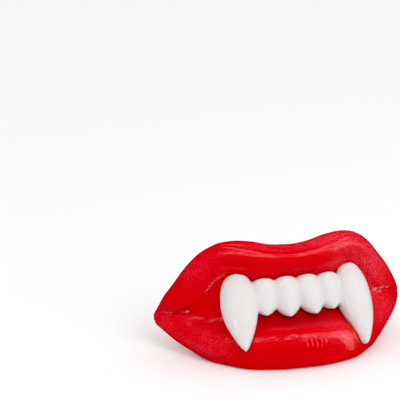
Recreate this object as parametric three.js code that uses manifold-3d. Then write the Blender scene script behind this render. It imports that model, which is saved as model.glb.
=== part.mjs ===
// Vampire fang lips: a novelty mouthpiece cast in wax. A red shell shaped as a pair of oversize lips
// carries a white row of teeth with two fangs, and a red tab behind it is held between the wearer's teeth.
//
// Face frame, in millimetres: +X to the right as seen from the front, +Y towards the wearer and +Z up, with
// z = 0 at the corners of the mouth. The lips follow an arch, a circle seen from above that touches y = 0,
// and a depth is measured outwards from that circle, away from the wearer.
// The finished model leans back until it stands on its lower lip and on the tab, as it does on a table.
import * as THREE from "three";
import { mergeVertices } from "three/addons/utils/BufferGeometryUtils.js";
import Module from "manifold-3d";

// Lips
const LIP_WIDTH = 76; // corner to corner, straight across
const ARCH_RADIUS = 47; // of the circle that the lips follow
const UPPER_HEIGHT = 19.5; // from the corners up to the two peaks of the upper lip
const LOWER_HEIGHT = 18.4; // from the corners down to the bottom of the lower lip
const LIP_FULLNESS = 5.5; // how far the fullest part of the lower lip stands out of the arch
const FLOOR_DEPTH = 2; // how far the floor of the mouth lies behind the arch
const WALL = 3.6; // wax behind the floor of the mouth, thinner towards the corners
const TIP_LENGTH = 1; // of the rounded end at each corner
const SKEW = 0.08; // how much fuller the left half of the hand-cast lips is than the right one

// Teeth
const INCISOR_PITCH = 6.5;
const INCISOR_OVERLAP = 0.9; // how much wider than its pitch an incisor is, so that the row is one casting
const INCISOR_TOP = 8; // height of an incisor's gum end above the corners
const INNER_INCISOR_LENGTH = 11.8;
const OUTER_INCISOR_LENGTH = 10.9;
const INCISOR_BULGE = 2.9; // how far an incisor stands out of the arch
const FANG_WIDTH = 10.6;
const FANG_OVERLAP = 1.2; // how far a fang runs into the incisor beside it
const FANG_TOP = 10.1;
const LEFT_FANG_LENGTH = 22.4; // gum end to tip
const RIGHT_FANG_LENGTH = 24;
const FANG_BULGE = 6.9;
const LEFT_FANG_LEAN = 1.2; // how far a fang's tip is set over to the right
const RIGHT_FANG_LEAN = -0.8;
const ROOT_DEPTH = 3.2; // how far the teeth go in behind the arch

// Bite tab
const TAB_WIDTH = 20.5;
const TAB_THICKNESS = 5;
const TAB_REACH = 23.5; // from the arch's front to the tab's end
const TAB_CENTRE_HEIGHT = -6;
const TAB_SOCKET_DEPTH = 1.4; // how far the tab is let into the back of the shell
const TAB_CORNER_RADIUS = 5;
const TAB_EDGE_RADIUS = 1.2;
const TAB_ROOT_FILLET = 2; // radius in which the tab's faces run into the back of the shell

const SEAT_GAP = 0.3; // between pieces that are seated in each other

// Facets
const ARCH_STEPS = 25; // stations on each half of the lips
const TIP_STEPS = 4;
const SECTION_SPAN_STEPS = 3; // facets between two of a lip section's points
const TOOTH_SIDES = 18;
const TOOTH_STEPS = 14;
const CORNER_STEPS = 5;
const FILLET_STEPS = 4;
const MERGE_DISTANCE = 1e-4; // points closer than this are one

// The lips' sections, from the middle out to where the corner's rounded end begins. `at` is a share of the
// half arch. Heights above the corners are shares of UPPER_HEIGHT, those below shares of LOWER_HEIGHT, and
// depths are shares of LIP_FULLNESS, but the floor's is one of FLOOR_DEPTH and wall is one of WALL. top and
// bottom are the outline, crest and pad the fullest part of the upper and the lower lip, edge the lower edge
// of the upper lip and inner the upper edge of the lower lip.
const LIP_SECTIONS = [
  { at: 0.0, topZ: 0.87, topD: -0.73, crestZ: 0.67, crestD: 0.5, edgeZ: 0.43, edgeD: 0.0, floor: 1.0,
    innerZ: -0.28, innerD: 0.12, padZ: -0.61, padD: 1.0, bottomZ: -1.0, bottomD: 0.66, wall: 1.0 },
  { at: 0.13, topZ: 0.895, topD: -0.62, crestZ: 0.685, crestD: 0.52, edgeZ: 0.43, edgeD: 0.02, floor: 1.0,
    innerZ: -0.28, innerD: 0.12, padZ: -0.61, padD: 1.0, bottomZ: -1.0, bottomD: 0.66, wall: 1.0 },
  { at: 0.26, topZ: 0.965, topD: -0.38, crestZ: 0.73, crestD: 0.56, edgeZ: 0.46, edgeD: 0.06, floor: 1.0,
    innerZ: -0.27, innerD: 0.1, padZ: -0.61, padD: 0.95, bottomZ: -0.975, bottomD: 0.62, wall: 1.0 },
  { at: 0.355, topZ: 1.0, topD: -0.16, crestZ: 0.775, crestD: 0.6, edgeZ: 0.54, edgeD: 0.12, floor: 0.9,
    innerZ: -0.26, innerD: 0.04, padZ: -0.61, padD: 0.82, bottomZ: -0.94, bottomD: 0.55, wall: 1.0 },
  { at: 0.415, topZ: 1.0, topD: -0.08, crestZ: 0.78, crestD: 0.61, edgeZ: 0.58, edgeD: 0.14, floor: 0.8,
    innerZ: -0.25, innerD: 0.0, padZ: -0.61, padD: 0.68, bottomZ: -0.9, bottomD: 0.44, wall: 1.0 },
  { at: 0.475, topZ: 0.98, topD: -0.05, crestZ: 0.755, crestD: 0.6, edgeZ: 0.53, edgeD: 0.17, floor: 0.7,
    innerZ: -0.22, innerD: -0.05, padZ: -0.59, padD: 0.6, bottomZ: -0.855, bottomD: 0.28, wall: 1.0 },
  { at: 0.575, topZ: 0.89, topD: -0.08, crestZ: 0.66, crestD: 0.54, edgeZ: 0.355, edgeD: 0.2, floor: 0.6,
    innerZ: -0.17, innerD: -0.1, padZ: -0.52, padD: 0.38, bottomZ: -0.785, bottomD: 0.04, wall: 1.0 },
  { at: 0.675, topZ: 0.75, topD: -0.34, crestZ: 0.52, crestD: 0.44, edgeZ: 0.165, edgeD: 0.13, floor: 0.5,
    innerZ: -0.08, innerD: -0.12, padZ: -0.4, padD: 0.24, bottomZ: -0.675, bottomD: -0.18, wall: 0.95 },
  { at: 0.76, topZ: 0.615, topD: -0.55, crestZ: 0.4, crestD: 0.34, edgeZ: 0.085, edgeD: 0.08, floor: 0.25,
    innerZ: -0.01, innerD: -0.04, padZ: -0.28, padD: 0.19, bottomZ: -0.55, bottomD: -0.24, wall: 0.9 },
  { at: 0.86, topZ: 0.39, topD: -0.55, crestZ: 0.23, crestD: 0.24, edgeZ: 0.07, edgeD: 0.1, floor: -0.05,
    innerZ: 0.01, innerD: 0.04, padZ: -0.16, padD: 0.15, bottomZ: -0.385, bottomD: -0.24, wall: 0.75 },
  { at: 0.95, topZ: 0.175, topD: -0.42, crestZ: 0.1, crestD: 0.1, edgeZ: 0.035, edgeD: 0.05, floor: -0.1,
    innerZ: 0.0, innerD: 0.04, padZ: -0.09, padD: 0.06, bottomZ: -0.215, bottomD: -0.26, wall: 0.55 },
  { at: 1.0, topZ: 0.05, topD: -0.3, crestZ: 0.025, crestD: 0.0, edgeZ: 0.01, edgeD: 0.0, floor: 0.0,
    innerZ: 0.0, innerD: 0.0, padZ: -0.04, padD: 0.0, bottomZ: -0.12, bottomD: -0.22, wall: 0.45 },
];

// The points round a section, from the top of the upper lip down the front and up the back. Each lies a
// share d of the way from one of the section's depths to another, and a share z of the way between heights.
const SECTION_POINTS = [
  { depths: ["top", "top"], d: 0, heights: ["top", "top"], z: 0 },
  { depths: ["top", "crest"], d: 0.62, heights: ["top", "crest"], z: 0.3 },
  { depths: ["crest", "crest"], d: 0, heights: ["crest", "crest"], z: 0 },
  { depths: ["crest", "edge"], d: 0.45, heights: ["crest", "edge"], z: 0.55 },
  { depths: ["edge", "edge"], d: 0, heights: ["edge", "edge"], z: 0 },
  { depths: ["edge", "floor"], d: 0.8, heights: ["edge", "inner"], z: 0.22 },
  { depths: ["inner", "floor"], d: 0.9, heights: ["edge", "inner"], z: 0.8 },
  { depths: ["inner", "inner"], d: 0, heights: ["inner", "inner"], z: 0 },
  { depths: ["inner", "pad"], d: 0.76, heights: ["inner", "pad"], z: 0.5 },
  { depths: ["pad", "pad"], d: 0, heights: ["pad", "pad"], z: 0 },
  { depths: ["pad", "bottom"], d: 0.3, heights: ["pad", "bottom"], z: 0.62 },
  { depths: ["bottom", "bottom"], d: 0, heights: ["bottom", "pad"], z: 0.06 },
  { depths: ["bottom", "back"], d: 0.12, heights: ["bottom", "bottom"], z: 0 },
  { depths: ["bottom", "back"], d: 0.92, heights: ["bottom", "inner"], z: 0.36 },
  { depths: ["back", "back"], d: 0, heights: ["bottom", "inner"], z: 0.62 },
  { depths: ["back", "back"], d: 0, heights: ["inner", "edge"], z: 0.5 },
  { depths: ["back", "back"], d: 0, heights: ["edge", "top"], z: 0.6 },
  { depths: ["top", "back"], d: 0.8, heights: ["top", "edge"], z: 0.14 },
];

// A fang and an incisor from gum end to tip. `at` is a share of the length, width of the full width, front
// of the bulge, and back the depth of the root, from 1 in full to below 0 where the tip lies on the lip.
const FANG_PROFILE = [
  { at: 0.0, width: 0.0, front: 0.16, back: 0.1 },
  { at: 0.02, width: 0.34, front: 0.23, back: 0.5 },
  { at: 0.07, width: 0.65, front: 0.33, back: 0.8 },
  { at: 0.2, width: 0.9, front: 0.6, back: 1.0 },
  { at: 0.38, width: 1.0, front: 0.82, back: 1.0 },
  { at: 0.53, width: 0.97, front: 0.95, back: 0.9 },
  { at: 0.62, width: 0.88, front: 1.0, back: 0.5 },
  { at: 0.7, width: 0.76, front: 1.02, back: 0.1 },
  { at: 0.8, width: 0.57, front: 1.02, back: -0.4 },
  { at: 0.9, width: 0.38, front: 1.0, back: -0.85 },
  { at: 0.96, width: 0.25, front: 0.95, back: -1.05 },
  { at: 1.0, width: 0.0, front: 0.86, back: -1.25 },
];
const INCISOR_PROFILE = [
  { at: 0.0, width: 0.0, front: 0.42, back: 0.2 },
  { at: 0.02, width: 0.45, front: 0.55, back: 0.6 },
  { at: 0.06, width: 0.76, front: 0.67, back: 1.0 },
  { at: 0.14, width: 0.93, front: 0.82, back: 1.0 },
  { at: 0.32, width: 1.0, front: 0.98, back: 1.0 },
  { at: 0.56, width: 1.0, front: 1.05, back: 1.0 },
  { at: 0.72, width: 0.97, front: 1.04, back: 1.0 },
  { at: 0.82, width: 0.87, front: 1.0, back: 1.0 },
  { at: 0.9, width: 0.6, front: 0.95, back: 0.9 },
  { at: 0.96, width: 0.3, front: 0.9, back: 0.6 },
  { at: 1.0, width: 0.0, front: 0.82, back: 0.3 },
];

const FANG_OFFSET = 2 * INCISOR_PITCH + FANG_WIDTH / 2 - FANG_OVERLAP;

const wasm = await Module();
wasm.setup();

// A smooth curve through equally named rows, read at a share of the way.
function rowAt(rows, at) {
  const last = rows.length - 1;
  let i = 0;
  while (i < last - 1 && at > rows[i + 1].at) i += 1;
  const [a, b] = [rows[i], rows[i + 1]];
  // The row before the first one mirrors the second, so the curve starts out level.
  const before = i > 0 ? rows[i - 1] : { ...rows[1], at: -rows[1].at };
  const after = i + 2 <= last ? rows[i + 2] : b;
  const u = THREE.MathUtils.clamp((at - a.at) / (b.at - a.at), 0, 1);
  const row = {};
  for (const key of Object.keys(a)) {
    const span = b.at - a.at;
    const slopeA = ((b[key] - before[key]) / (b.at - before.at)) * span;
    const slopeB = after === b ? b[key] - a[key] : ((after[key] - a[key]) / (after.at - a.at)) * span;
    const u2 = u * u;
    const u3 = u2 * u;
    row[key] =
      (2 * u3 - 3 * u2 + 1) * a[key] +
      (u3 - 2 * u2 + u) * slopeA +
      (3 * u2 - 2 * u3) * b[key] +
      (u3 - u2) * slopeB;
  }
  return row;
}

// A point of the face frame from an angle along the arch, a depth in front of it and a height.
function onArch(angle, depth, height) {
  const radius = ARCH_RADIUS + depth;
  return new THREE.Vector3(radius * Math.sin(angle), ARCH_RADIUS - radius * Math.cos(angle), height);
}

// A closed solid through rings of the same number of points, with a pole beyond each end.
function loftRings(rings, startPole, endPole) {
  const sides = rings[0].length;
  const points = [startPole, ...rings.flat(), endPole];
  const endIndex = points.length - 1;
  const ringStart = (ring) => 1 + ring * sides;
  const index = [];
  for (let k = 0; k < sides; k += 1) {
    const next = (k + 1) % sides;
    index.push(0, ringStart(0) + next, ringStart(0) + k);
    for (let ring = 0; ring < rings.length - 1; ring += 1) {
      const [a, b] = [ringStart(ring) + k, ringStart(ring) + next];
      const [c, d] = [ringStart(ring + 1) + next, ringStart(ring + 1) + k];
      index.push(a, b, c, a, c, d);
    }
    const lastRing = ringStart(rings.length - 1);
    index.push(endIndex, lastRing + k, lastRing + next);
  }
  const geometry = new THREE.BufferGeometry().setFromPoints(points);
  geometry.setIndex(index);
  return geometry;
}

// A three.js geometry as a manifold solid, facing out.
function toSolid(geometry) {
  const bare = geometry.clone();
  bare.deleteAttribute("normal");
  bare.deleteAttribute("uv");
  const merged = mergeVertices(bare, MERGE_DISTANCE);
  const triVerts = new Uint32Array(merged.index.array);
  const make = () =>
    new wasm.Manifold(
      new wasm.Mesh({ numProp: 3, vertProperties: merged.attributes.position.array, triVerts }),
    );
  const solid = make();
  if (solid.volume() > 0) return solid;
  triVerts.reverse();
  return make();
}

// A manifold solid as a three.js geometry.
function toGeometry(solid) {
  const { numProp, numVert, vertProperties, triVerts } = solid.getMesh();
  const positions = new Float32Array(numVert * 3);
  for (let i = 0; i < numVert; i += 1) {
    positions.set(vertProperties.subarray(i * numProp, i * numProp + 3), i * 3);
  }
  const geometry = new THREE.BufferGeometry();
  geometry.setAttribute("position", new THREE.BufferAttribute(positions, 3));
  geometry.setIndex(new THREE.BufferAttribute(triVerts, 1));
  geometry.computeVertexNormals();
  return geometry;
}

// One closed section of the lips, as points of (depth, height).
function lipSection(at) {
  const row = rowAt(LIP_SECTIONS, at);
  const height = {};
  const depth = {};
  for (const name of ["top", "crest", "edge", "inner", "pad", "bottom"]) {
    const share = row[`${name}Z`];
    height[name] = share * (share > 0 ? UPPER_HEIGHT : LOWER_HEIGHT);
    depth[name] = row[`${name}D`] * LIP_FULLNESS;
  }
  depth.floor = -row.floor * FLOOR_DEPTH;
  depth.back = depth.floor - row.wall * WALL;
  const between = (values, [from, to], share) => values[from] + (values[to] - values[from]) * share;
  const curve = new THREE.CatmullRomCurve3(
    SECTION_POINTS.map(
      ({ depths, d, heights, z }) =>
        new THREE.Vector3(between(depth, depths, d), between(height, heights, z), 0),
    ),
    true,
    "centripetal",
  );
  const steps = SECTION_POINTS.length * SECTION_SPAN_STEPS;
  return Array.from({ length: steps }, (_, i) => curve.getPoint(i / steps));
}

// The middle of a section, as (depth, height).
function sectionCentre(section) {
  return section.reduce((sum, p) => sum.add(p), new THREE.Vector3()).divideScalar(section.length);
}

// The lips before the teeth and the tab are let in: sections along the arch, rounded off at each corner.
function lipsBlank() {
  const corner = sectionCentre(lipSection(1));
  const halfArch = Math.asin(LIP_WIDTH / 2 / (ARCH_RADIUS + corner.x));
  const tipAt = 1 - TIP_LENGTH / ARCH_RADIUS / halfArch;
  const stations = [];
  for (let i = 0; i <= ARCH_STEPS; i += 1) stations.push({ at: (tipAt * i) / ARCH_STEPS, shrink: 1 });
  for (let i = 1; i < TIP_STEPS; i += 1) {
    const turn = (Math.PI / 2) * (i / TIP_STEPS);
    stations.push({ at: tipAt + (1 - tipAt) * Math.sin(turn), shrink: Math.cos(turn) });
  }
  const ring = ({ at, shrink }, side) => {
    const section = lipSection(at + side * SKEW * at * (1 - at));
    const centre = sectionCentre(section);
    return section.map((p) => {
      const { x: depth, y: height } = centre.clone().lerp(p, shrink);
      return onArch(side * at * halfArch, depth, height);
    });
  };
  const left = stations.slice(1).reverse().map((station) => ring(station, -1));
  const right = stations.map((station) => ring(station, 1));
  const pole = (side) => onArch(side * halfArch, corner.x, corner.y);
  return toSolid(loftRings([...left, ...right], pole(-1), pole(1)));
}

// One tooth, standing on the arch at an offset from the middle, with its tip set over by lean.
// grow makes it larger all round.
function tooth({ profile, offset, top, length, width, bulge, lean }, grow) {
  const angle = Math.asin(offset / ARCH_RADIUS);
  const tangent = new THREE.Vector3(Math.cos(angle), Math.sin(angle), 0);
  const outward = new THREE.Vector3(Math.sin(angle), -Math.cos(angle), 0);
  const foot = onArch(angle, 0, 0);
  const centreOf = (row) => (row.front * bulge - row.back * ROOT_DEPTH) / 2;
  const place = (at, across, depth, height) =>
    foot
      .clone()
      .addScaledVector(tangent, across + lean * at ** 2)
      .addScaledVector(outward, depth)
      .setZ(height);
  const rings = [];
  for (let i = 1; i < TOOTH_STEPS; i += 1) {
    // More rings near both ends, where the outline turns fastest.
    const at = (1 - Math.cos((Math.PI * i) / TOOTH_STEPS)) / 2;
    const row = rowAt(profile, at);
    const halfWidth = (row.width * width) / 2 + grow;
    const halfDepth = (row.front * bulge + row.back * ROOT_DEPTH) / 2 + grow;
    const height = top - at * length + grow * (1 - 2 * at);
    rings.push(
      Array.from({ length: TOOTH_SIDES }, (_, k) => {
        const turn = (2 * Math.PI * k) / TOOTH_SIDES;
        return place(at, halfWidth * Math.cos(turn), centreOf(row) + halfDepth * Math.sin(turn), height);
      }),
    );
  }
  const gumEnd = place(0, 0, centreOf(rowAt(profile, 0)), top + grow);
  const tip = place(1, 0, centreOf(rowAt(profile, 1)), top - length - grow);
  return toSolid(loftRings(rings, gumEnd, tip));
}

// The whole white casting: four incisors between two fangs, each run into the next.
function teethSolid(grow) {
  const incisor = {
    profile: INCISOR_PROFILE,
    top: INCISOR_TOP,
    width: INCISOR_PITCH + INCISOR_OVERLAP,
    bulge: INCISOR_BULGE,
    lean: 0,
  };
  const fang = {
    profile: FANG_PROFILE,
    top: FANG_TOP,
    width: FANG_WIDTH,
    bulge: FANG_BULGE,
  };
  const row = [
    tooth({ ...fang, offset: -FANG_OFFSET, length: LEFT_FANG_LENGTH, lean: LEFT_FANG_LEAN }, grow),
    tooth({ ...fang, offset: FANG_OFFSET, length: RIGHT_FANG_LENGTH, lean: RIGHT_FANG_LEAN }, grow),
  ];
  for (const side of [-1, 1]) {
    row.push(
      tooth({ ...incisor, offset: side * 0.5 * INCISOR_PITCH, length: INNER_INCISOR_LENGTH }, grow),
      tooth({ ...incisor, offset: side * 1.5 * INCISOR_PITCH, length: OUTER_INCISOR_LENGTH }, grow),
    );
  }
  return row.reduce((joined, one) => joined.add(one));
}

// The tab's root, which fills its socket and runs out in a fillet on both faces of the tab.
function tabRoot(grow) {
  const back = FLOOR_DEPTH + WALL;
  const start = back - TAB_SOCKET_DEPTH - grow;
  const centreHeight = TAB_THICKNESS / 2 + TAB_ROOT_FILLET;
  const radius = TAB_ROOT_FILLET - grow;
  const half = [[start, centreHeight + grow], [back + grow, centreHeight + grow]];
  for (let i = 1; i <= FILLET_STEPS; i += 1) {
    const turn = (Math.PI / 2) * (i / FILLET_STEPS);
    half.push([
      back + TAB_ROOT_FILLET - radius * Math.cos(turn),
      centreHeight - radius * Math.sin(turn),
    ]);
  }
  const mirrored = half.map(([depth, height]) => [depth, -height]).reverse();
  const corners = [...half, ...mirrored].map(([depth, height]) => new THREE.Vector2(depth, height));
  const outline = new THREE.Shape(corners);
  const width = TAB_WIDTH + 2 * grow - 2 * TAB_EDGE_RADIUS;
  const geometry = new THREE.ExtrudeGeometry(outline, { depth: width, bevelEnabled: false });
  // The side view is drawn along X and Y, and is stood up along Y and Z.
  geometry.translate(0, 0, -width / 2);
  geometry.rotateY(Math.PI / 2);
  geometry.rotateX(Math.PI / 2);
  return toSolid(geometry);
}

// The tab that the wearer bites: a flat tongue with round corners at its end and softened long edges.
function tabSolid(grow) {
  const start = FLOOR_DEPTH + WALL - TAB_SOCKET_DEPTH - grow;
  const half = TAB_WIDTH / 2 + grow;
  const end = TAB_REACH + grow;
  const corner = TAB_CORNER_RADIUS + grow;
  const outline = new THREE.Shape();
  outline.moveTo(-half, start);
  outline.lineTo(half, start);
  outline.lineTo(half, end - corner);
  outline.absarc(half - corner, end - corner, corner, 0, Math.PI / 2, false);
  outline.absarc(-half + corner, end - corner, corner, Math.PI / 2, Math.PI, false);
  const bevel = TAB_EDGE_RADIUS;
  const geometry = new THREE.ExtrudeGeometry(outline, {
    depth: TAB_THICKNESS + 2 * grow - 2 * bevel,
    bevelEnabled: true,
    bevelThickness: bevel,
    bevelSize: bevel,
    bevelOffset: -bevel,
    bevelSegments: 2,
    curveSegments: CORNER_STEPS,
  });
  geometry.translate(0, 0, -TAB_THICKNESS / 2 - grow + bevel);
  return toSolid(geometry).add(tabRoot(grow)).translate([0, 0, TAB_CENTRE_HEIGHT]);
}

// The lowest and the middle of some solids once they lean back by an angle, in radians.
function leaning(solids, lean) {
  const box = new THREE.Box3();
  const point = new THREE.Vector3();
  const back = new THREE.Matrix4().makeRotationX(-lean);
  for (const solid of solids) {
    const { numProp, numVert, vertProperties } = solid.getMesh();
    for (let i = 0; i < numVert; i += 1) {
      box.expandByPoint(point.fromArray(vertProperties, i * numProp).applyMatrix4(back));
    }
  }
  return { low: box.min.z, middle: (box.min.y + box.max.y) / 2 };
}

// The lean at which the lower lip and the tab stand on one level, found by halving.
function restLean(lips, tab) {
  const HALVINGS = 40;
  let upright = 0;
  let flat = Math.PI / 3;
  for (let i = 0; i < HALVINGS; i += 1) {
    const lean = (upright + flat) / 2;
    if (leaning([tab], lean).low > leaning([lips], lean).low) upright = lean;
    else flat = lean;
  }
  return upright;
}

const teeth = teethSolid(0);
const tab = tabSolid(0);
const lips = lipsBlank().subtract(teethSolid(SEAT_GAP)).subtract(tabSolid(SEAT_GAP));
const lean = restLean(lips, tab);
const { low, middle } = leaning([lips, teeth, tab], lean);

const redWax = new THREE.MeshStandardMaterial({ color: 0xcc0412, roughness: 0.42, metalness: 0 });
const whiteWax = new THREE.MeshStandardMaterial({ color: 0xeae6e2, roughness: 0.4, metalness: 0 });

function piece(name, solid, material) {
  const mesh = new THREE.Mesh(toGeometry(solid), material);
  mesh.name = name;
  return mesh;
}

const faceFrame = new THREE.Group();
faceFrame.add(piece("lips", lips, redWax));
faceFrame.add(piece("teeth", teeth, whiteWax));
faceFrame.add(piece("bite_tab", tab, redWax));
// Leaning back turns +Z of the face frame towards +Y.
faceFrame.rotation.x = -lean;
faceFrame.position.set(0, -middle, -low);

const model = new THREE.Group();
model.name = "vampire_fang_lips";
model.add(faceFrame);

export default model;
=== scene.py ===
import math

import bpy
import numpy as np
from mathutils import Matrix, Vector, bvhtree, noise


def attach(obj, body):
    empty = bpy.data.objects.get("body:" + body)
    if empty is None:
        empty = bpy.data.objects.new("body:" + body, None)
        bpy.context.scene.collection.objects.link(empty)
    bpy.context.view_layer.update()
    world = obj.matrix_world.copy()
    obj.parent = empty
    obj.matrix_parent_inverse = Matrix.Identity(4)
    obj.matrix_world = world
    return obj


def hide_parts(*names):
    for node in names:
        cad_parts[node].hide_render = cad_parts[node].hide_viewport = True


# How the finished thing stands: it leans back on its lower lip and its tab, moved by so many millimetres
LEAN = math.radians(22.54556)
STAND_Y = -4.65966
STAND_Z = 16.40134

# Lips
LIP_WIDTH = 76
ARCH_RADIUS = 47
UPPER_HEIGHT = 19.5
LOWER_HEIGHT = 18.4
LIP_FULLNESS = 5.5
FLOOR_DEPTH = 2  # of the recess between the lips
WALL = 3.6
TIP_LENGTH = 1  # of the rounded end at each corner
SKEW = 0.08  # how much fuller the left half is than the right one

# Teeth
INCISOR_PITCH = 6.5
INCISOR_OVERLAP = 0.9
INCISOR_TOP = 8
INNER_INCISOR_LENGTH = 11.8
OUTER_INCISOR_LENGTH = 10.9
INCISOR_BULGE = 2.9
SLANTED_INCISOR_LEAN = 1.1  # of the inner one on the right
FANG_WIDTH = 10.6
FANG_OVERLAP = 1.2
FANG_TOP = 10.1
LEFT_FANG_LENGTH = 22.4
RIGHT_FANG_LENGTH = 24
FANG_BULGE = 6.9
LEFT_FANG_LEAN = 1.2
RIGHT_FANG_LEAN = -0.8
ROOT_DEPTH = 3.2
FANG_OFFSET = 2 * INCISOR_PITCH + FANG_WIDTH / 2 - FANG_OVERLAP

# Bite tab
TAB_WIDTH = 20.5
TAB_THICKNESS = 5
TAB_REACH = 23.5
TAB_CENTRE_HEIGHT = -6
TAB_SOCKET_DEPTH = 1.4
TAB_CORNER_RADIUS = 5
TAB_EDGE_RADIUS = 1.2
TAB_ROOT_FILLET = 2

# The camera stands in front of the face frame, to its left, and looks level
PHOTO_PIXELS = 400
CAMERA_YAW = math.radians(18.7)
CAMERA_ROLL = math.radians(6)
CAMERA_DISTANCE = 570
FOCAL_PIXELS = 1980
AIM_HEIGHT = 6.65  # of the point on the arch's front that the two values below place
AIM_PIXEL_X = 296.5
AIM_PIXEL_Y = 279.3
SENSOR = 36

# Fineness
ARCH_STEP = 0.21  # between stations along the lips
TIP_STEPS = 12
BORDER_STEPS = 16  # between two of a section's points along the upper lip's border,
FRONT_STEPS = 11  # on the rest of the front
BACK_STEPS = 4  # and on the back
TOOTH_SIDES = 72
TOOTH_STEPS = 64
TEETH_VOXEL = 0.2
TEETH_SMOOTHINGS = 6
GROOVE_WIDTH = 1.8  # that the softening between two teeth reaches
GROOVE_SMOOTHINGS = 50
LEAST_WEIGHT = 0.02  # that a corner needs to be softened as part of a groove
SMOOTHING = 0.5  # how far a smoothing moves a corner towards its neighbours
TAB_ACROSS = 40
TAB_CORNER = 6
TAB_STEP = 0.5
TAB_END_STEPS = 14
NO_LENGTH = 1e-12  # keeps a normal of no length from being divided by zero

# Relief on the lips, in millimetres. Places round a section are in its points, counted from the top.
# The upper lip's border ends at a line, given as (share of the way out, place round the section), and its
# beads and grooves lie at a share of the way from the top to that line
BORDER_LINE = [
    (-0.7, 0.95),
    (-0.5, 0.9),
    (-0.37, 1.3),
    (-0.21, 1.58),
    (-0.07, 1.75),
    (0.09, 1.62),
    (0.27, 1.5),
    (0.39, 1.3),
    (0.7, 1.1),
]
BORDER = [
    dict(at=0.12, width=0.1, rise=0.06),
    dict(at=0.34, width=0.1, rise=0.2),
    dict(at=0.5, width=0.05, rise=-0.06),
    dict(at=0.78, width=0.13, rise=-0.34),
    dict(at=1.0, width=0.06, rise=0.2),
]
# The shares of the way out, left and right, between which the border fades
BORDER_LEFT_FADE = (0.6, 0.9)
BORDER_RIGHT_FADE = (0.36, 0.56)
# Strokes run from one place on the lips to another, as (mm along the arch, height), bowed to one side, and
# fade between two shares of the way from their middle to their ends
STROKE_FADE = (0.7, 1.15)
STROKES = [
    # small curved ridges side by side on the lower lip
    dict(start=(-1.3, -11.0), end=(-1.1, -13.4), bow=0.5, width=0.3, rise=0.36),
    dict(start=(-0.1, -10.6), end=(0.1, -14.0), bow=0.6, width=0.3, rise=0.46),
    dict(start=(1.2, -10.5), end=(1.4, -13.9), bow=0.6, width=0.3, rise=0.46),
    dict(start=(2.5, -10.5), end=(2.7, -13.4), bow=0.5, width=0.3, rise=0.42),
    dict(start=(3.9, -10.6), end=(4.1, -12.6), bow=0.4, width=0.3, rise=0.24),
    # casting marks along its crest
    dict(start=(-13, -10.3), end=(-8, -10.1), bow=0.1, width=0.28, rise=0.2),
    dict(start=(-8.4, -9.7), end=(-5, -9.3), bow=0.2, width=0.25, rise=0.14),
    dict(start=(-6.6, -10.2), end=(-3.2, -9.9), bow=-0.1, width=0.25, rise=0.14),
    dict(start=(-5, -8.8), end=(-1.6, -9.5), bow=0.2, width=0.22, rise=0.12),
    dict(start=(-4.6, -7.6), end=(0.5, -7.2), bow=-0.2, width=0.25, rise=0.14),
    dict(start=(1, -7), end=(5, -6.5), bow=0.1, width=0.25, rise=0.14),
    dict(start=(5, -6.3), end=(8.6, -6.5), bow=0.3, width=0.28, rise=0.18),
]
# Ripples round a place, where the wax was rubbed or cooled unevenly
RIPPLES = [
    dict(centre=(-29, -3), place=(-28.5, -10.5), across=6, up=3, pitch=1.1, rise=0.035),
    dict(centre=(-27, 0), place=(-27, -1.5), across=2.6, up=2.6, pitch=0.9, rise=0.01),
    dict(centre=(-40, 30), place=(-29, 12.5), across=5, up=5, pitch=0.9, rise=0.025),
]
# The seat of the teeth: how far from them it is looked for, out to which share of the way along the lips,
# its rim and the dip inside it
SEAT_REACH = 2.5
SEAT_SPAN = 0.7
SEAT_RIM = 0.07
SEAT_RIM_AT = 0.75
SEAT_RIM_WIDTH = 0.4
SEAT_DIP = 0.08
SEAT_DIP_WIDTH = 0.35
# Hand-cast unevenness and its wave length
UNEVENNESS = 0.12
UNEVEN_LENGTH = 5.5

# Places where the red wax is grained and paler, with a painted pinkish sheen, as (mm along the arch, height)
# with half sizes
GRAIN_AND_SHEEN = [
    dict(place=(26, 10.5), across=10.5, up=8.5, amount=1.0),
    dict(place=(14, 17), across=7, up=3, amount=0.7),
    dict(place=(31, -5), across=8, up=8, amount=0.6),
    dict(place=(-31, 13), across=7, up=4, amount=0.5),
    dict(place=(-29, -10), across=9, up=5, amount=0.55),
    dict(place=(-40, -2), across=5, up=4, amount=0.5),
    dict(place=(0, 17), across=16, up=2.2, amount=0.6),
    dict(place=(8, -8), across=5, up=3, amount=0.4),
]
# Places where the casting is fuller, given the same way
SWELLS = [
    dict(place=(-39, 5), across=4, up=3, rise=0.4),
]
# Painted shade: hollows where the red wax is painted darker in place of shade, given the same way, and how
# much and how far it is painted darker beside the teeth
PAINTED_SHADE = [
    dict(place=(0, -4.8), across=13, up=2.2, amount=0.9),
    dict(place=(0, 8.5), across=14, up=1.8, amount=0.3),
    dict(place=(-34, 0.5), across=5, up=2.5, amount=0.35),
    dict(place=(-6, -15), across=15, up=3, amount=0.3),
]
PAINTED_SHADE_AT_TEETH = 0.45
PAINTED_SHADE_REACH = 0.7
# Chalky lines of bloom in the creases, given as strokes
BLOOM = [
    dict(start=(-40.5, 1.2), end=(-38, 0.9), bow=0, width=0.16, rise=0.35),
    dict(start=(-35, 0.6), end=(-32.6, 0.7), bow=0, width=0.22, rise=0.6),
    dict(start=(-26.9, 5.6), end=(-23.3, 8.9), bow=0, width=0.16, rise=0.35),
    dict(start=(-23, 9), end=(-20, 10.7), bow=0, width=0.2, rise=0.25),
    dict(start=(28.9, 1.25), end=(33.4, 1.75), bow=0.1, width=0.26, rise=1.0),
    dict(start=(28.9, 0.45), end=(32.6, 0.75), bow=0.05, width=0.22, rise=0.8),
    dict(start=(33.8, 1.5), end=(35.5, 1.6), bow=0, width=0.2, rise=0.6),
]
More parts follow.
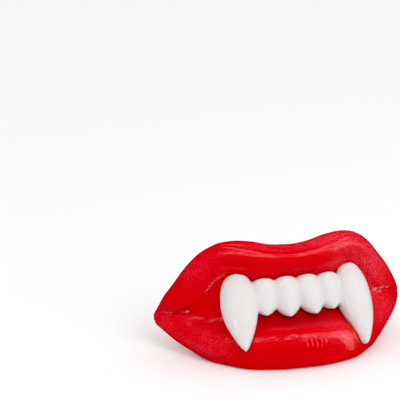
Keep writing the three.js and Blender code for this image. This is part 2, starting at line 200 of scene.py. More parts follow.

# The two waxes. Each varies between two colours and two roughnesses. The red one has further colours for
# painted shade in its hollows, its grain with a painted pinkish sheen, and its bloom
RED_WAX = dict(
    name="red_wax",
    colour=(0.67, 0.0002, 0.002),
    blotch=(0.74, 0.0004, 0.005),
    roughness=(0.16, 0.28),
    specular=0.25,
    subsurface=0.25,
    radius=(1.2, 0.12, 0.08),
    # a darker red painted as shade, a paler pink for grain with a painted sheen, and the bloom's chalky colour
    marks_and_painted_light=dict(painted_shade=(0.36, 0.0004, 0.005), grain_and_sheen=(0.8, 0.045, 0.085), bloom=(0.82, 0.42, 0.46)),
)
WHITE_WAX = dict(
    name="white_wax",
    colour=(0.77, 0.745, 0.735),
    blotch=(0.8, 0.775, 0.77),
    roughness=(0.14, 0.2),
    specular=0.5,
    subsurface=0.3,
    radius=(1.2, 0.9, 0.8),
)
SUBSURFACE_SCALE = 0.001
# Their patterns, in waves to a metre, and the values between which specks and dashes go from none to full
BLOTCHES = dict(scale=160, detail=3)
GLOSS = dict(scale=420, detail=4)
GRAIN = dict(scale=2200, detail=3)
WAVES = dict(scale=700, detail=1)
WAVES_STRETCH = (0.4, 1, 1)
SPECKS = dict(scale=2700, detail=0)
SPECKS_RANGE = (0.5, 0.58)
DASHES = dict(scale=1200, detail=1)
DASHES_RANGE = (0.43, 0.55)
FINE_BUMP = dict(strength=0.4, distance=0.0002)
BROAD_BUMP = dict(strength=0.3, distance=0.0006)
# how strongly the painted shade darkens the red
PAINTED_SHADE_STRENGTH = 0.8
PLAIN_GRAIN = 0.25  # the share of the grain that ungrained wax has
GRAINED_ROUGHNESS = 0.1

# The studio, in metres, degrees and watts. A light's azimuth is 0 in front and grows to the viewer's left
FLOOR_SIZE = 6
PAPER = (0.95, 0.95, 0.95)
PAPER_ROUGHNESS = 0.9
LIGHT_DISTANCE = 0.7
STRIP = dict(azimuth=5, elevation=60, width=0.9, height=0.09, power=2.0)
RIGHT = dict(azimuth=-60, elevation=15, width=0.2, height=0.8, power=3.6)
LEFT = dict(azimuth=62, elevation=17, width=0.05, height=0.12, power=0.5, colour=(0.6, 0.85, 1))
KEY = dict(azimuth=-20, elevation=44, width=0.5, height=0.5, power=1.34)
SKY_STRENGTH = 1.05
SKY_ANGLE = 120
WORLD_STRENGTH = 0.62
BLACK_LEVEL = (0.008, 0.009, 0.007)

# The lips' sections from the middle out, as shares of the sizes above
LIP_SECTIONS = [
    dict(at=0.0, topZ=0.87, topD=-0.73, crestZ=0.67, crestD=0.5, edgeZ=0.43, edgeD=0.0, floor=1.0,
         innerZ=-0.28, innerD=0.12, padZ=-0.61, padD=1.0, bottomZ=-1.0, bottomD=0.66, wall=1.0),
    dict(at=0.13, topZ=0.895, topD=-0.62, crestZ=0.685, crestD=0.52, edgeZ=0.43, edgeD=0.02, floor=1.0,
         innerZ=-0.28, innerD=0.12, padZ=-0.61, padD=1.0, bottomZ=-1.0, bottomD=0.66, wall=1.0),
    dict(at=0.26, topZ=0.965, topD=-0.38, crestZ=0.73, crestD=0.56, edgeZ=0.46, edgeD=0.06, floor=1.0,
         innerZ=-0.27, innerD=0.1, padZ=-0.61, padD=0.95, bottomZ=-0.975, bottomD=0.62, wall=1.0),
    dict(at=0.355, topZ=1.0, topD=-0.16, crestZ=0.775, crestD=0.6, edgeZ=0.54, edgeD=0.12, floor=0.9,
         innerZ=-0.26, innerD=0.04, padZ=-0.61, padD=0.82, bottomZ=-0.94, bottomD=0.55, wall=1.0),
    dict(at=0.415, topZ=1.0, topD=-0.08, crestZ=0.78, crestD=0.61, edgeZ=0.58, edgeD=0.14, floor=0.8,
         innerZ=-0.25, innerD=0.0, padZ=-0.61, padD=0.68, bottomZ=-0.9, bottomD=0.44, wall=1.0),
    dict(at=0.475, topZ=0.98, topD=-0.05, crestZ=0.755, crestD=0.6, edgeZ=0.53, edgeD=0.17, floor=0.7,
         innerZ=-0.22, innerD=-0.05, padZ=-0.59, padD=0.6, bottomZ=-0.855, bottomD=0.28, wall=1.0),
    dict(at=0.575, topZ=0.89, topD=-0.08, crestZ=0.66, crestD=0.54, edgeZ=0.355, edgeD=0.2, floor=0.6,
         innerZ=-0.17, innerD=-0.1, padZ=-0.52, padD=0.38, bottomZ=-0.785, bottomD=0.04, wall=1.0),
    dict(at=0.675, topZ=0.75, topD=-0.34, crestZ=0.52, crestD=0.44, edgeZ=0.165, edgeD=0.13, floor=0.5,
         innerZ=-0.08, innerD=-0.12, padZ=-0.4, padD=0.24, bottomZ=-0.675, bottomD=-0.18, wall=0.95),
    dict(at=0.76, topZ=0.615, topD=-0.55, crestZ=0.4, crestD=0.34, edgeZ=0.085, edgeD=0.08, floor=0.25,
         innerZ=-0.01, innerD=-0.04, padZ=-0.28, padD=0.19, bottomZ=-0.55, bottomD=-0.24, wall=0.9),
    dict(at=0.86, topZ=0.39, topD=-0.55, crestZ=0.23, crestD=0.24, edgeZ=0.07, edgeD=0.1, floor=-0.05,
         innerZ=0.01, innerD=0.04, padZ=-0.16, padD=0.15, bottomZ=-0.385, bottomD=-0.24, wall=0.75),
    dict(at=0.95, topZ=0.175, topD=-0.42, crestZ=0.1, crestD=0.1, edgeZ=0.035, edgeD=0.05, floor=-0.1,
         innerZ=0.0, innerD=0.04, padZ=-0.09, padD=0.06, bottomZ=-0.215, bottomD=-0.26, wall=0.55),
    dict(at=1.0, topZ=0.05, topD=-0.3, crestZ=0.025, crestD=0.0, edgeZ=0.01, edgeD=0.0, floor=0.0,
         innerZ=0.0, innerD=0.0, padZ=-0.04, padD=0.0, bottomZ=-0.12, bottomD=-0.22, wall=0.45),
]

# The points round a section: each lies a share d of the way between two depths and a share z of the way
# between two heights
SECTION_POINTS = [
    dict(depths=("top", "top"), d=0, heights=("top", "top"), z=0),
    dict(depths=("top", "crest"), d=0.62, heights=("top", "crest"), z=0.3),
    dict(depths=("crest", "crest"), d=0, heights=("crest", "crest"), z=0),
    dict(depths=("crest", "edge"), d=0.45, heights=("crest", "edge"), z=0.55),
    dict(depths=("edge", "edge"), d=0, heights=("edge", "edge"), z=0),
    dict(depths=("edge", "floor"), d=0.8, heights=("edge", "inner"), z=0.22),
    dict(depths=("inner", "floor"), d=0.9, heights=("edge", "inner"), z=0.8),
    dict(depths=("inner", "inner"), d=0, heights=("inner", "inner"), z=0),
    dict(depths=("inner", "pad"), d=0.76, heights=("inner", "pad"), z=0.5),
    dict(depths=("pad", "pad"), d=0, heights=("pad", "pad"), z=0),
    dict(depths=("pad", "bottom"), d=0.3, heights=("pad", "bottom"), z=0.62),
    dict(depths=("bottom", "bottom"), d=0, heights=("bottom", "pad"), z=0.06),
    dict(depths=("bottom", "back"), d=0.12, heights=("bottom", "bottom"), z=0),
    dict(depths=("bottom", "back"), d=0.92, heights=("bottom", "inner"), z=0.36),
    dict(depths=("back", "back"), d=0, heights=("bottom", "inner"), z=0.62),
    dict(depths=("back", "back"), d=0, heights=("inner", "edge"), z=0.5),
    dict(depths=("back", "back"), d=0, heights=("edge", "top"), z=0.6),
    dict(depths=("top", "back"), d=0.8, heights=("top", "edge"), z=0.14),
]
BOTTOM_POINT = 12  # the one where the front ends and the back begins

# A fang and an incisor from gum end to tip, as shares of their length, their width, how far they bulge and the
# depth of their roots
FANG_PROFILE = [
    dict(at=0.0, width=0.0, front=0.16, back=0.1),
    dict(at=0.02, width=0.34, front=0.23, back=0.5),
    dict(at=0.07, width=0.65, front=0.33, back=0.8),
    dict(at=0.2, width=0.9, front=0.6, back=1.0),
    dict(at=0.38, width=1.0, front=0.82, back=1.0),
    dict(at=0.53, width=0.97, front=0.95, back=0.9),
    dict(at=0.62, width=0.88, front=1.0, back=0.5),
    dict(at=0.7, width=0.76, front=1.02, back=0.1),
    dict(at=0.8, width=0.57, front=1.02, back=-0.4),
    dict(at=0.9, width=0.34, front=1.0, back=-0.85),
    dict(at=0.96, width=0.18, front=0.95, back=-1.05),
    dict(at=1.0, width=0.0, front=0.86, back=-1.25),
]
INCISOR_PROFILE = [
    dict(at=0.0, width=0.0, front=0.42, back=0.2),
    dict(at=0.02, width=0.45, front=0.55, back=0.6),
    dict(at=0.06, width=0.76, front=0.67, back=1.0),
    dict(at=0.14, width=0.93, front=0.82, back=1.0),
    dict(at=0.32, width=1.0, front=0.98, back=1.0),
    dict(at=0.56, width=1.0, front=1.05, back=1.0),
    dict(at=0.72, width=0.97, front=1.04, back=1.0),
    dict(at=0.82, width=0.87, front=1.0, back=1.0),
    dict(at=0.9, width=0.63, front=0.95, back=0.9),
    dict(at=0.96, width=0.36, front=0.9, back=0.6),
    dict(at=1.0, width=0.0, front=0.82, back=0.3),
]


def row_at(rows, at):
    """The smooth curve through the rows of a table, read at a share of the way."""
    last = len(rows) - 1
    i = 0
    while i < last - 1 and at > rows[i + 1]["at"]:
        i += 1
    a, b = rows[i], rows[i + 1]
    before = rows[i - 1] if i > 0 else dict(rows[1], at=-rows[1]["at"])
    after = rows[i + 2] if i + 2 <= last else b
    span = b["at"] - a["at"]
    u = min(max((at - a["at"]) / span, 0), 1)
    row = {}
    for key in a:
        slope_a = (b[key] - before[key]) / (b["at"] - before["at"]) * span
        if after is b:
            slope_b = b[key] - a[key]
        else:
            slope_b = (after[key] - a[key]) / (after["at"] - a["at"]) * span
        u2 = u * u
        u3 = u2 * u
        row[key] = (
            (2 * u3 - 3 * u2 + 1) * a[key]
            + (u3 - 2 * u2 + u) * slope_a
            + (3 * u2 - 2 * u3) * b[key]
            + (u3 - u2) * slope_b
        )
    return row


def closed_curve(controls, steps):
    """Points on a closed centripetal Catmull-Rom curve, steps[i] of them from control i to the next."""
    count = len(controls)
    points = []
    for i in range(count):
        p0, p1, p2, p3 = (controls[(i + k) % count] for k in (-1, 0, 1, 2))
        d0, d1, d2 = (math.sqrt(np.linalg.norm(b - a)) for a, b in ((p0, p1), (p1, p2), (p2, p3)))
        m1 = ((p1 - p0) / d0 - (p2 - p0) / (d0 + d1) + (p2 - p1) / d1) * d1
        m2 = ((p2 - p1) / d1 - (p3 - p1) / (d1 + d2) + (p3 - p2) / d2) * d1
        t = (np.arange(steps[i]) / steps[i])[:, None]
        points.append(
            p1 + m1 * t + (3 * (p2 - p1) - 2 * m1 - m2) * t**2 + (2 * (p1 - p2) + m1 + m2) * t**3
        )
    return np.concatenate(points)


def section_steps():
    front = [BORDER_STEPS] * 2 + [FRONT_STEPS] * (BOTTOM_POINT - 2)
    return front + [BACK_STEPS] * (len(SECTION_POINTS) - BOTTOM_POINT)


def lip_section(at):
    """One closed section of the lips, as points of (depth, height)."""
    row = row_at(LIP_SECTIONS, at)
    height, depth = {}, {}
    for name in ("top", "crest", "edge", "inner", "pad", "bottom"):
        share = row[name + "Z"]
        height[name] = share * (UPPER_HEIGHT if share > 0 else LOWER_HEIGHT)
        depth[name] = row[name + "D"] * LIP_FULLNESS
    depth["floor"] = -row["floor"] * FLOOR_DEPTH
    depth["back"] = depth["floor"] - row["wall"] * WALL

    def between(values, ends, share):
        return values[ends[0]] + (values[ends[1]] - values[ends[0]]) * share

    controls = [
        np.array([between(depth, p["depths"], p["d"]), between(height, p["heights"], p["z"])])
        for p in SECTION_POINTS
    ]
    return closed_curve(controls, section_steps())


def on_arch(angle, depth, height):
    """Points of the face frame from angles along the arch, depths in front of it and heights."""
    radius = ARCH_RADIUS + depth
    x = radius * np.sin(angle)
    y = ARCH_RADIUS - radius * np.cos(angle)
    return np.stack(np.broadcast_arrays(x, y, height), -1)


def to_part(points):
    """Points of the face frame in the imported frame, in metres."""
    x, y, z = np.moveaxis(np.asarray(points, float), -1, 0)
    c, s = math.cos(LEAN), math.sin(LEAN)
    return np.stack([x, y * c + z * s + STAND_Y, -y * s + z * c + STAND_Z], -1) / 1000


def loft_faces(ring_count, sides):
    """Faces through rings of points, with a pole before the first and one after the last."""
    faces = []
    end = 1 + ring_count * sides
    for k in range(sides):
        after = (k + 1) % sides
        faces.append((0, 1 + after, 1 + k))
        for ring in range(ring_count - 1):
            a = 1 + ring * sides
            b = a + sides
            faces.append((a + k, a + after, b + after, b + k))
        last = 1 + (ring_count - 1) * sides
        faces.append((end, last + k, last + after))
    return faces


def mesh_object(name, points, faces):
    mesh = bpy.data.meshes.new(name)
    mesh.from_pydata([tuple(p) for p in points], [], faces)
    mesh.update()
    made = bpy.data.objects.new(name, mesh)
    bpy.context.scene.collection.objects.link(made)
    return made


def corners_of(mesh):
    points = np.empty(len(mesh.vertices) * 3)
    mesh.vertices.foreach_get("co", points)
    return points.reshape(-1, 3)


def move_corners(mesh, points):
    mesh.vertices.foreach_set("co", np.asarray(points, float).ravel())
    mesh.update()


def apply_modifiers(thing):
    """The object's mesh as its modifiers leave it, in place of the old one."""
    evaluated = thing.evaluated_get(bpy.context.evaluated_depsgraph_get())
    mesh = bpy.data.meshes.new_from_object(evaluated)
    thing.modifiers.clear()
    thing.data = mesh


# The lips' form, as a grid of stations along the arch and points round each section
def lips_grid():
    corner = lip_section(1).mean(axis=0)
    half_arch = math.asin(LIP_WIDTH / 2 / (ARCH_RADIUS + corner[0]))
    tip_at = 1 - TIP_LENGTH / ARCH_RADIUS / half_arch
    steps = round(tip_at * half_arch * ARCH_RADIUS / ARCH_STEP)
    stations = [(tip_at * i / steps, 1) for i in range(steps + 1)]
    for i in range(1, TIP_STEPS):
        turn = math.pi / 2 * i / TIP_STEPS
        stations.append((tip_at + (1 - tip_at) * math.sin(turn), math.cos(turn)))
    signed, sections = [], []
    for side in (-1, 1):
        for at, shrink in stations[:0:-1] if side < 0 else stations:
            section = lip_section(at + side * SKEW * at * (1 - at))
            centre = section.mean(axis=0)
            signed.append(side * at)
            sections.append(centre + (section - centre) * shrink)
    signed, sections = np.array(signed), np.array(sections)
    grid = on_arch(signed[:, None] * half_arch, sections[..., 0], sections[..., 1])
    poles = [on_arch(side * half_arch, corner[0], corner[1]) for side in (-1, 1)]
    return signed, grid, poles


def tooth_loft(profile, offset, top, length, width, bulge, lean=0):
    """Points and faces of one tooth, standing on the arch at an offset from the middle."""
    angle = math.asin(offset / ARCH_RADIUS)
    tangent = np.array([math.cos(angle), math.sin(angle), 0])
    outward = np.array([math.sin(angle), -math.cos(angle), 0])
    foot = on_arch(angle, 0, 0)

    def place(at, across, depth, height):
        point = foot + np.multiply.outer(across + lean * at**2, tangent) + np.multiply.outer(depth, outward)
        point[..., 2] = height
        return point

    def depths(row):
        return row["front"] * bulge, -row["back"] * ROOT_DEPTH

    turns = 2 * math.pi * np.arange(TOOTH_SIDES) / TOOTH_SIDES
    first, last = row_at(profile, 0), row_at(profile, 1)
    points = [place(0, np.zeros(1), np.array([sum(depths(first)) / 2]), top)]
    for i in range(1, TOOTH_STEPS):
        at = (1 - math.cos(math.pi * i / TOOTH_STEPS)) / 2
        row = row_at(profile, at)
        front, back = depths(row)
        across = row["width"] * width / 2 * np.cos(turns)
        depth = (front + back) / 2 + (front - back) / 2 * np.sin(turns)
        points.append(place(at, across, depth, top - at * length))
    points.append(place(1, np.zeros(1), np.array([sum(depths(last)) / 2]), top - length))
    return np.concatenate(points), loft_faces(TOOTH_STEPS - 1, TOOTH_SIDES)


def make_teeth():
    """The white casting, in millimetres: four incisors between two fangs, run into each other."""
    incisor_width = INCISOR_PITCH + INCISOR_OVERLAP
    incisor = dict(profile=INCISOR_PROFILE, top=INCISOR_TOP, width=incisor_width, bulge=INCISOR_BULGE)
    fang = dict(profile=FANG_PROFILE, top=FANG_TOP, width=FANG_WIDTH, bulge=FANG_BULGE)
    row = [
        tooth_loft(offset=-FANG_OFFSET, length=LEFT_FANG_LENGTH, lean=LEFT_FANG_LEAN, **fang),
        tooth_loft(offset=FANG_OFFSET, length=RIGHT_FANG_LENGTH, lean=RIGHT_FANG_LEAN, **fang),
    ]
    for side, inner_lean in ((-1, 0), (1, SLANTED_INCISOR_LEAN)):
        inner = dict(incisor, length=INNER_INCISOR_LENGTH, lean=inner_lean)
        row.append(tooth_loft(offset=side * 0.5 * INCISOR_PITCH, **inner))
        row.append(tooth_loft(offset=side * 1.5 * INCISOR_PITCH, length=OUTER_INCISOR_LENGTH, **incisor))
    points, faces = [], []
    start = 0
    for tooth_points, tooth_faces in row:
        points.append(tooth_points)
        faces += [tuple(start + corner for corner in face) for face in tooth_faces]
        start += len(tooth_points)
    teeth = mesh_object("wax_teeth", np.concatenate(points), faces)
    remesh = teeth.modifiers.new("join", "REMESH")
    remesh.mode = "VOXEL"
    remesh.voxel_size = TEETH_VOXEL
    apply_modifiers(teeth)

    # The grooves between the teeth are filled softly, as in a cast row, while the tips keep their form
    corners = corners_of(teeth.data)
    arcs = ARCH_RADIUS * np.arctan2(corners[:, 0], ARCH_RADIUS - corners[:, 1])
    grooves = [INCISOR_PITCH * place for place in (-2, -1, 0, 1, 2)]
    nearness = np.max([np.exp(-(((arcs - groove) / GROOVE_WIDTH) ** 2)) for groove in grooves], axis=0)
    group = teeth.vertex_groups.new(name="grooves")
    for corner, weight in enumerate(nearness):
        if weight > LEAST_WEIGHT:
            group.add([corner], float(weight), "REPLACE")
    for where, rounds in (("grooves", GROOVE_SMOOTHINGS), ("", TEETH_SMOOTHINGS)):
        soften = teeth.modifiers.new("soften", "SMOOTH")
        soften.factor = SMOOTHING
        soften.iterations = rounds
        soften.vertex_group = where
    apply_modifiers(teeth)
    teeth.vertex_groups.clear()
    return teeth


def rounded_ring(half_width, half_height, radius):
    """A rounded rectangle as points of (across, up), round once."""
    inner = np.array([half_width - radius, half_height - radius])
    centres = [inner * signs for signs in ((1, 1), (-1, 1), (-1, -1), (1, -1))]
    points = []
    for quarter, centre in enumerate(centres):
        for k in range(TAB_CORNER + 1):
            turn = math.pi / 2 * (quarter + k / TAB_CORNER)
            outward = radius * np.array([math.cos(turn), math.sin(turn)])
            points.append(centre + outward)
        # Along the flat side that follows this corner
        ahead = centres[(quarter + 1) % 4]
        flat = TAB_ACROSS if quarter in (0, 2) else TAB_CORNER
        for k in range(1, flat):
            points.append(centre + (ahead - centre) * k / flat + outward)
    return np.array(points)


def make_tab():
    """The bite tab, in millimetres, with its root fillet run into the shell."""
    back = FLOOR_DEPTH + WALL
    start = back - TAB_SOCKET_DEPTH
    rounding = TAB_REACH - TAB_CORNER_RADIUS
    along = list(np.arange(start, rounding, TAB_STEP))
    for k in range(TAB_END_STEPS + 1):
        along.append(rounding + TAB_CORNER_RADIUS * math.sin(math.pi / 2 * k / TAB_END_STEPS))
    rings = []
    for y in along:
        half_width = TAB_WIDTH / 2
        half_height = TAB_THICKNESS / 2
        flare = max(back + TAB_ROOT_FILLET - max(y, back), 0)
        grown = TAB_ROOT_FILLET - math.sqrt(TAB_ROOT_FILLET**2 - flare**2)
        half_height += grown
        half_width += grown
        past = max(y - rounding, 0)
        half_width -= TAB_CORNER_RADIUS - math.sqrt(TAB_CORNER_RADIUS**2 - past**2)
        inside = max(TAB_EDGE_RADIUS - (TAB_REACH - y), 0)
        half_height -= TAB_EDGE_RADIUS - math.sqrt(TAB_EDGE_RADIUS**2 - inside**2)
        ring = rounded_ring(half_width, half_height, TAB_EDGE_RADIUS)
        rings.append(np.stack([ring[:, 0], np.full(len(ring), y), TAB_CENTRE_HEIGHT + ring[:, 1]], -1))
    ends = [np.array([[0, y, TAB_CENTRE_HEIGHT]]) for y in (start, TAB_REACH)]
    faces = [tuple(reversed(face)) for face in loft_faces(len(rings), len(rings[0]))]
    return mesh_object("tab", np.concatenate([ends[0], *rings, ends[1]]), faces)


def bump(values, middle, width):
    """A smooth rise to 1 at the middle, and to about a third of that one width away."""
    return np.exp(-(((values - middle) / width) ** 2))


def fade(values, start, end):
    """1 up to start, 0 from end on, and smooth between."""
    t = np.clip((values - start) / (end - start), 0, 1)
    return 1 - t * t * (3 - 2 * t)


def grid_normals(grid):
    """Outward normals of a grid of stations and points round each section."""
    along = np.gradient(grid, axis=0)
    round_it = (np.roll(grid, -1, axis=1) - np.roll(grid, 1, axis=1)) / 2
    normals = np.cross(round_it, along)
    return normals / (np.linalg.norm(normals, axis=2, keepdims=True) + NO_LENGTH)


def along_stroke(stroke, arc, height):
    """How strongly each place on the lips lies on a stroke."""
    start, end = np.array(stroke["start"]), np.array(stroke["end"])
    length = np.linalg.norm(end - start)
    ahead = (end - start) / length
    t = ((arc - start[0]) * ahead[0] + (height - start[1]) * ahead[1]) / length
    across = (height - start[1]) * ahead[0] - (arc - start[0]) * ahead[1]
    middle = stroke["bow"] * (1 - (2 * t - 1) ** 2)
    return stroke["rise"] * bump(across, middle, stroke["width"]) * fade(np.abs(2 * t - 1), *STROKE_FADE)


def within(region, arc, height):
    """How strongly each place lies in a region, from 1 at its middle to 0 well outside."""
    place = region["place"]
    return np.exp(-(((arc - place[0]) / region["across"]) ** 2) - ((height - place[1]) / region["up"]) ** 2)


def on_lips(grid):
    """Where each point of the grid lies: millimetres along the arch, its height, its place round the section
    and whether it is in front."""
    steps = section_steps()
    point = np.concatenate([i + np.arange(n) / n for i, n in enumerate(steps)])[None, :]
    point = np.where(point > len(steps) - 1, point - len(steps), point)
    arc = ARCH_RADIUS * np.arctan2(grid[..., 0], ARCH_RADIUS - grid[..., 1])
    return arc, grid[..., 2], point, (point > -0.5) & (point < BOTTOM_POINT)


def distance_to(teeth, signed, grid):
    """How far each point on the front of the lips is from the teeth, up to a limit."""
    tree = bvhtree.BVHTree.FromObject(teeth, bpy.context.evaluated_depsgraph_get())
    distance = np.full(grid.shape[:2], float(SEAT_REACH))
    front = on_lips(grid)[3]
    for i, j in zip(*np.nonzero(front & (np.abs(signed)[:, None] < SEAT_SPAN))):
        found = tree.find_nearest(Vector(grid[i, j]), SEAT_REACH)
        if found[0] is not None:
            distance[i, j] = found[3]
    return distance


def relief(signed, grid, distance):
    """How far each point of the lips' grid stands out of the plain form."""
    arc, height, point, front = on_lips(grid)
    line = np.interp(signed, *zip(*BORDER_LINE))[:, None]
    reach = fade(signed[:, None], *BORDER_RIGHT_FADE) * fade(-signed[:, None], *BORDER_LEFT_FADE)
    rise = reach * sum(row["rise"] * bump(point / line, row["at"], row["width"]) for row in BORDER)
    rise = rise + front * sum(along_stroke(stroke, arc, height) for stroke in STROKES)
    rise = rise + sum(swell["rise"] * within(swell, arc, height) for swell in SWELLS)
    for ripple in RIPPLES:
        spread = np.hypot(arc - ripple["centre"][0], height - ripple["centre"][1])
        wave = np.cos(2 * math.pi * spread / ripple["pitch"])
        rise = rise + front * ripple["rise"] * wave * within(ripple, arc, height)
    # The wax dips beside the teeth and stands up in a low rim round the dip
    rise = rise + SEAT_RIM * bump(distance, SEAT_RIM_AT, SEAT_RIM_WIDTH)
    rise = rise - SEAT_DIP * bump(distance, 0, SEAT_DIP_WIDTH)
    for i in range(grid.shape[0]):
        for j in range(grid.shape[1]):
            place = Vector(grid[i, j]) / UNEVEN_LENGTH
            rise[i, j] += UNEVENNESS * noise.noise(place, noise_basis="PERLIN_NEW")
    return rise


def make_lips(teeth):
    """The red casting, in millimetres: the shell and its tab in one."""
    signed, grid, poles = lips_grid()
    distance = distance_to(teeth, signed, grid)
    grid = grid + grid_normals(grid) * relief(signed, grid, distance)[..., None]
    points = np.concatenate([poles[0][None], grid.reshape(-1, 3), poles[1][None]])
    lips = mesh_object("wax_lips", points, loft_faces(len(signed), grid.shape[1]))
    arc, height, _, front = on_lips(grid)
    bloom = front * sum(along_stroke(line, arc, height) for line in BLOOM)
    # Grained places: real grain, painted paler and pinkish as a painted sheen
    grain_and_sheen = sum(region["amount"] * within(region, arc, height) for region in GRAIN_AND_SHEEN)
    grain_and_sheen = front * np.minimum(grain_and_sheen, 1)
    # Painted shade: darker red in the hollows and beside the teeth, in place of shade
    painted_shade = sum(region["amount"] * within(region, arc, height) for region in PAINTED_SHADE)
    painted_shade = front * np.minimum(painted_shade + PAINTED_SHADE_AT_TEETH * bump(distance, 0, PAINTED_SHADE_REACH), 1)
    for name, values in (("bloom", bloom), ("grain_and_sheen", grain_and_sheen), ("painted_shade", painted_shade)):
        layer = lips.data.attributes.new(name, "FLOAT", "POINT")
        layer.data.foreach_set("value", np.concatenate([[0], values.ravel(), [0]]))
    tab = make_tab()
    union = lips.modifiers.new("join", "BOOLEAN")
    union.operation = "UNION"
    union.solver = "MANIFOLD"
    union.object = tab
    apply_modifiers(lips)
    bpy.data.objects.remove(tab)
    return lips


def wax(name, colour, blotch, roughness, specular, subsurface, radius, marks_and_painted_light=None):
    """A satin wax: soft blotches of colour, uneven gloss and a fine grain. The red wax also has painted shade
    in its hollows, paler specks with a painted pinkish sheen and more roughness where it is grained, and lines
    of bloom."""
    material = bpy.data.materials.new(name)
    material.use_nodes = True
    nodes, links = material.node_tree.nodes, material.node_tree.links
    shader = nodes["Principled BSDF"]
    place = nodes.new("ShaderNodeTexCoord").outputs["Object"]

    def pattern(scale, detail, vector=place):
        node = nodes.new("ShaderNodeTexNoise")
        node.inputs["Scale"].default_value = scale
        node.inputs["Detail"].default_value = detail
        links.new(vector, node.inputs["Vector"])
        return node.outputs["Fac"]

    def attribute(name):
        node = nodes.new("ShaderNodeAttribute")
        node.attribute_name = name
        return node.outputs["Fac"]

    def calculated(operation, a, b):
        node = nodes.new("ShaderNodeMath")
        node.operation = operation
        node.use_clamp = operation == "ADD"
        for socket, value in zip(node.inputs, (a, b)):
            if isinstance(value, (int, float)):
                socket.default_value = value
            else:
                links.new(value, socket)
        return node.outputs["Value"]

    def ranged(value, **limits):
        node = nodes.new("ShaderNodeMapRange")
        for end, limit in limits.items():
            node.inputs[end.replace("_", " ").title()].default_value = limit
        links.new(value, node.inputs["Value"])
        return node.outputs["Result"]

    def mixed(a, b, factor):
        node = nodes.new("ShaderNodeMix")
        node.data_type = "RGBA"
        if isinstance(a, tuple):
            node.inputs["A"].default_value = (*a, 1)
        else:
            links.new(a, node.inputs["A"])
        node.inputs["B"].default_value = (*b, 1)
        links.new(factor, node.inputs["Factor"])
        return node.outputs["Result"]

    def bumped(height, strength, distance):
        node = nodes.new("ShaderNodeBump")
        node.inputs["Strength"].default_value = strength
        node.inputs["Distance"].default_value = distance
        links.new(height, node.inputs["Height"])
        return node

    base = mixed(colour, blotch, pattern(**BLOTCHES))
    rough = ranged(pattern(**GLOSS), to_min=roughness[0], to_max=roughness[1])
    grain = pattern(**GRAIN)
    if marks_and_painted_light:
        # Painted shade: the red is mixed towards a darker red in the hollows and beside the teeth
        base = mixed(base, marks_and_painted_light["painted_shade"], calculated("MULTIPLY", attribute("painted_shade"), PAINTED_SHADE_STRENGTH))
        grain = calculated("MULTIPLY", grain, calculated("ADD", attribute("grain_and_sheen"), PLAIN_GRAIN))
        specks = ranged(pattern(**SPECKS), from_min=SPECKS_RANGE[0], from_max=SPECKS_RANGE[1])
        # Paler pinkish specks where it is grained: real grain mixed with a painted sheen
        base = mixed(base, marks_and_painted_light["grain_and_sheen"], calculated("MULTIPLY", attribute("grain_and_sheen"), specks))
        dashes = ranged(pattern(**DASHES), from_min=DASHES_RANGE[0], from_max=DASHES_RANGE[1])
        base = mixed(base, marks_and_painted_light["bloom"], calculated("MULTIPLY", attribute("bloom"), dashes))
        rough = calculated("ADD", rough, calculated("MULTIPLY", attribute("grain_and_sheen"), GRAINED_ROUGHNESS))
    links.new(base, shader.inputs["Base Color"])
    links.new(rough, shader.inputs["Roughness"])

    stretched = nodes.new("ShaderNodeMapping")
    stretched.inputs["Scale"].default_value = WAVES_STRETCH
    links.new(place, stretched.inputs["Vector"])
    fine = bumped(grain, **FINE_BUMP)
    broad = bumped(pattern(**WAVES, vector=stretched.outputs["Vector"]), **BROAD_BUMP)
    links.new(fine.outputs["Normal"], broad.inputs["Normal"])
    links.new(broad.outputs["Normal"], shader.inputs["Normal"])

    shader.inputs["Subsurface Weight"].default_value = subsurface
    shader.inputs["Subsurface Radius"].default_value = radius
    shader.inputs["Subsurface Scale"].default_value = SUBSURFACE_SCALE
    shader.inputs["Specular IOR Level"].default_value = specular
    return material


def add_light(name, azimuth, elevation, width, height, power, colour=(1, 1, 1)):
    """A soft area light that looks at the object."""
    data = bpy.data.lights.new(name, "AREA")
    data.shape = "RECTANGLE"
    data.size = width
    data.size_y = height
    data.energy = power
    data.color = colour
    light = bpy.data.objects.new(name, data)
    a, e = math.radians(azimuth), math.radians(elevation)
    place = Vector((-math.sin(a) * math.cos(e), -math.cos(a) * math.cos(e), math.sin(e))) * LIGHT_DISTANCE
    light.location = place
    light.rotation_euler = (-place).to_track_quat("-Z", "Y").to_euler()
    bpy.context.scene.collection.objects.link(light)
    return light


def add_floor():
    bpy.ops.mesh.primitive_plane_add(size=FLOOR_SIZE)
    floor = bpy.context.object
    floor.name = "floor"
    paper = bpy.data.materials.new("paper")
    paper.use_nodes = True
    shader = paper.node_tree.nodes["Principled BSDF"]
    shader.inputs["Base Color"].default_value = (*PAPER, 1)
    shader.inputs["Roughness"].default_value = PAPER_ROUGHNESS
    floor.data.materials.append(paper)
    floor.visible_glossy = False


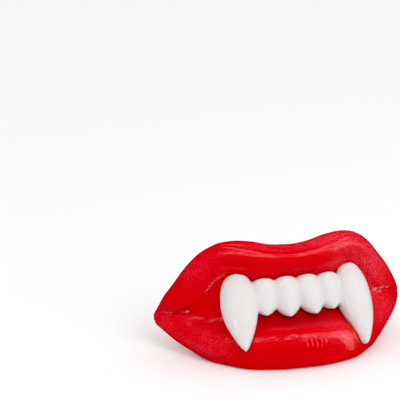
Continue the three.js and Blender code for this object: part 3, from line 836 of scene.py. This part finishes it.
def light_studio(lips, teeth):
    """Lights for the gloss, each on one of the waxes, and soft light that doesn't show in it."""
    scene = bpy.context.scene
    strip = add_light("strip", **STRIP)
    right = add_light("right", **RIGHT)
    left = add_light("left", **LEFT)
    for light, wax_piece in ((strip, lips), (right, lips), (left, teeth)):
        light.visible_diffuse = False
        lit = bpy.data.collections.new(light.name + "_lights")
        lit.objects.link(wax_piece)
        light.light_linking.receiver_collection = lit
    key = add_light("key", **KEY)
    key.visible_glossy = False
    sun = bpy.data.lights.new("sky", "SUN")
    sun.energy = SKY_STRENGTH
    sun.angle = math.radians(SKY_ANGLE)
    sky = bpy.data.objects.new("sky", sun)
    sky.visible_glossy = False
    scene.collection.objects.link(sky)
    world = scene.world or bpy.data.worlds.new("world")
    scene.world = world
    world.use_nodes = True
    world.cycles_visibility.glossy = False
    world.node_tree.nodes["Background"].inputs["Color"].default_value = (1, 1, 1, 1)
    world.node_tree.nodes["Background"].inputs["Strength"].default_value = WORLD_STRENGTH


def set_view():
    """Plain colours with a small black level, as the photo's reds have hardly any green and blue."""
    view = bpy.context.scene.view_settings
    view.view_transform = "Standard"
    view.look = "None"
    view.use_curve_mapping = True
    view.curve_mapping.black_level = BLACK_LEVEL
    view.curve_mapping.update()


def add_camera():
    """The camera at the photograph's angle, turned until the aim point falls on its pixel."""
    yaw, roll = CAMERA_YAW, CAMERA_ROLL
    ahead = Vector((math.sin(yaw), math.cos(yaw), 0))
    right = Vector((math.cos(yaw), -math.sin(yaw), 0))
    up = Vector((0, 0, 1))
    rolled_right = right * math.cos(roll) - up * math.sin(roll)
    rolled_up = right * math.sin(roll) + up * math.cos(roll)
    axes = Matrix((rolled_right, rolled_up, -ahead)).transposed()
    lean_back = Matrix.Rotation(-LEAN, 3, "X")
    middle = PHOTO_PIXELS / 2
    seen = Vector((AIM_PIXEL_X - middle, middle - AIM_PIXEL_Y, -FOCAL_PIXELS)).normalized()
    turn = seen.rotation_difference(Vector((0, 0, -1))).to_matrix()
    eye = np.array([0, 0, AIM_HEIGHT]) - np.array(ahead) * CAMERA_DISTANCE
    data = bpy.data.cameras.new("camera")
    data.sensor_width = SENSOR
    data.lens = SENSOR * FOCAL_PIXELS / PHOTO_PIXELS
    camera = bpy.data.objects.new("camera", data)
    camera.matrix_world = Matrix.Translation(Vector(to_part(eye))) @ (lean_back @ axes @ turn).to_4x4()
    bpy.context.scene.collection.objects.link(camera)
    bpy.context.scene.camera = camera


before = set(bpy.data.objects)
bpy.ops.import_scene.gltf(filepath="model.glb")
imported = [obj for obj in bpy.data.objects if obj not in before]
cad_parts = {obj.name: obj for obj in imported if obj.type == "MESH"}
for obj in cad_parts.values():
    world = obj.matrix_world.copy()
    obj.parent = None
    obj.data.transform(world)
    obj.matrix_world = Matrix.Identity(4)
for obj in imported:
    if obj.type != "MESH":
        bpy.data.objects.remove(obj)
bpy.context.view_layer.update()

teeth = make_teeth()
lips = make_lips(teeth)
for piece, look in ((lips, RED_WAX), (teeth, WHITE_WAX)):
    move_corners(piece.data, to_part(corners_of(piece.data)))
    piece.data.polygons.foreach_set("use_smooth", [True] * len(piece.data.polygons))
    piece.data.materials.clear()
    piece.data.materials.append(wax(**look))
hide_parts("lips", "bite_tab")
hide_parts("teeth")
for piece in (lips, teeth):
    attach(piece, "root")

add_floor()
light_studio(lips, teeth)
set_view()
add_camera()
